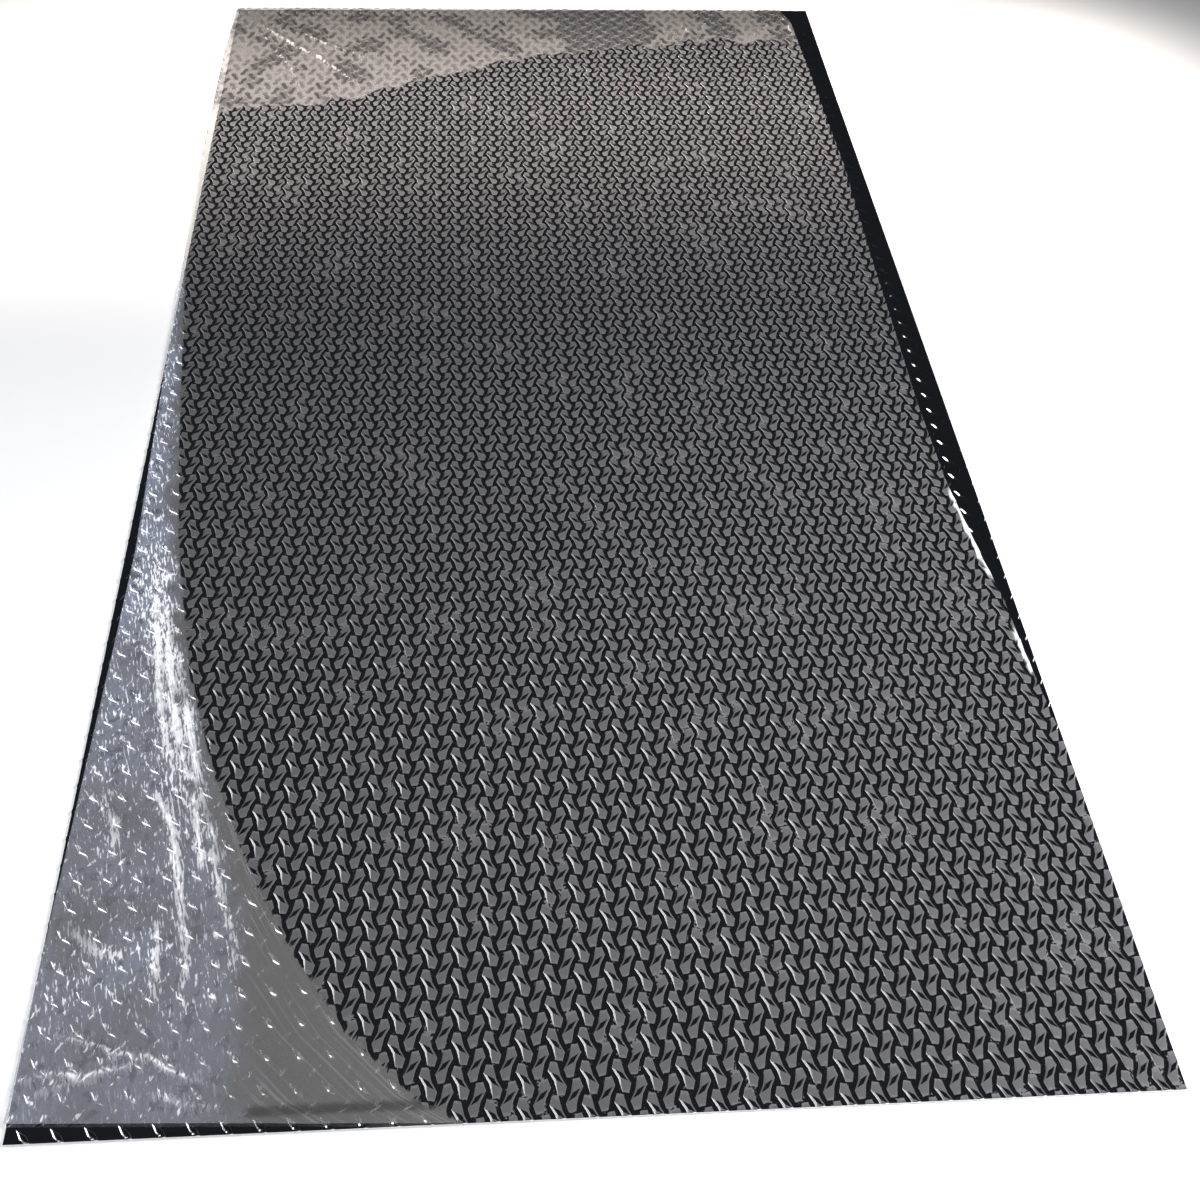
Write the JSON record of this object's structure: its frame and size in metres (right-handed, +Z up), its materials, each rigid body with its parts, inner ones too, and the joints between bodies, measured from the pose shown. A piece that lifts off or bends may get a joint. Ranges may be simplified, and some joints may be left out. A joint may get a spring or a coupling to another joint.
{
  "type": "tread plate sheet",
  "caption": "Flat rolled aluminum sheet with a raised diamond tread on its top face, under a clear protective film that is loose at one corner and along one end.",
  "frame": {"origin": "centre of the sheet's underside", "axes": "+X across the sheet to the right, +Y along its length, +Z up out of the tread face"},
  "size_m": [1.2332, 2.4384, 0.0093],
  "materials": {
    "bright_aluminum": "bright rolled, close to a mirror, with light rolling lines and small scuffs",
    "clear_film": "clear glossy film with a slight haze"
  },
  "bodies": {
    "root": {"tread_plate": "bright_aluminum", "protective_film": "clear_film"}
  },
  "joints": []
}
